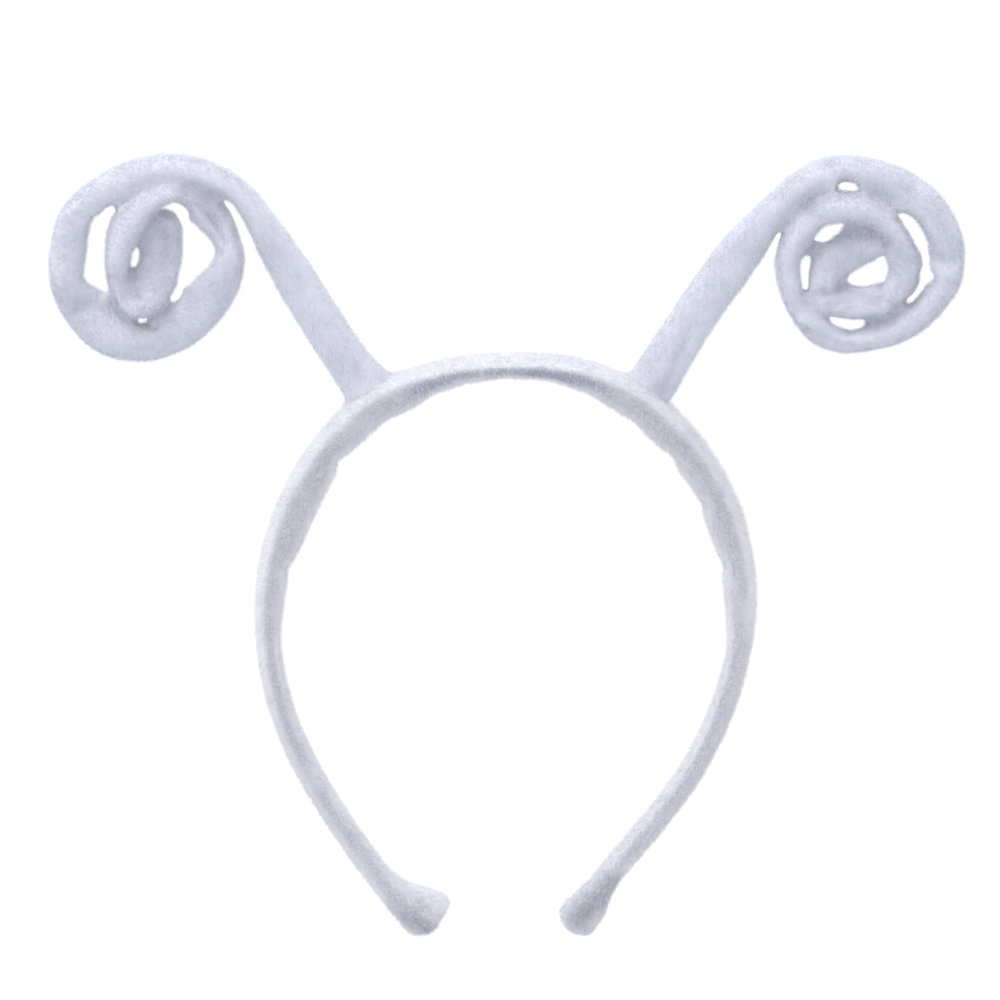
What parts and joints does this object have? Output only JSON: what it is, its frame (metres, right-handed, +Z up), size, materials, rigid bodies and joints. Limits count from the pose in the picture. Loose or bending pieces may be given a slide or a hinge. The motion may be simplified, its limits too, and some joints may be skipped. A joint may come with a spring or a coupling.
{
  "type": "antenna headband",
  "caption": "Plush-covered costume headband: an open hoop that clips over the head, with stuffed antennae that curl into flat spirals.",
  "frame": {"origin": "middle of the underside of the headband's box, on the surface that it lies on", "axes": "+X from the side of left_antenna to the side of right_antenna, +Y from the hoop's open ends to its crown, +Z up out of the hoop's plane"},
  "size_m": [0.257, 0.2256, 0.0157],
  "materials": {
    "band_plush": "short-pile white plush, brushed down over a padded hoop",
    "antenna_plush": "short-pile white plush sleeve, softly stuffed"
  },
  "bodies": {
    "root": {"band": "band_plush", "left_antenna": "antenna_plush", "right_antenna": "antenna_plush"}
  },
  "joints": []
}
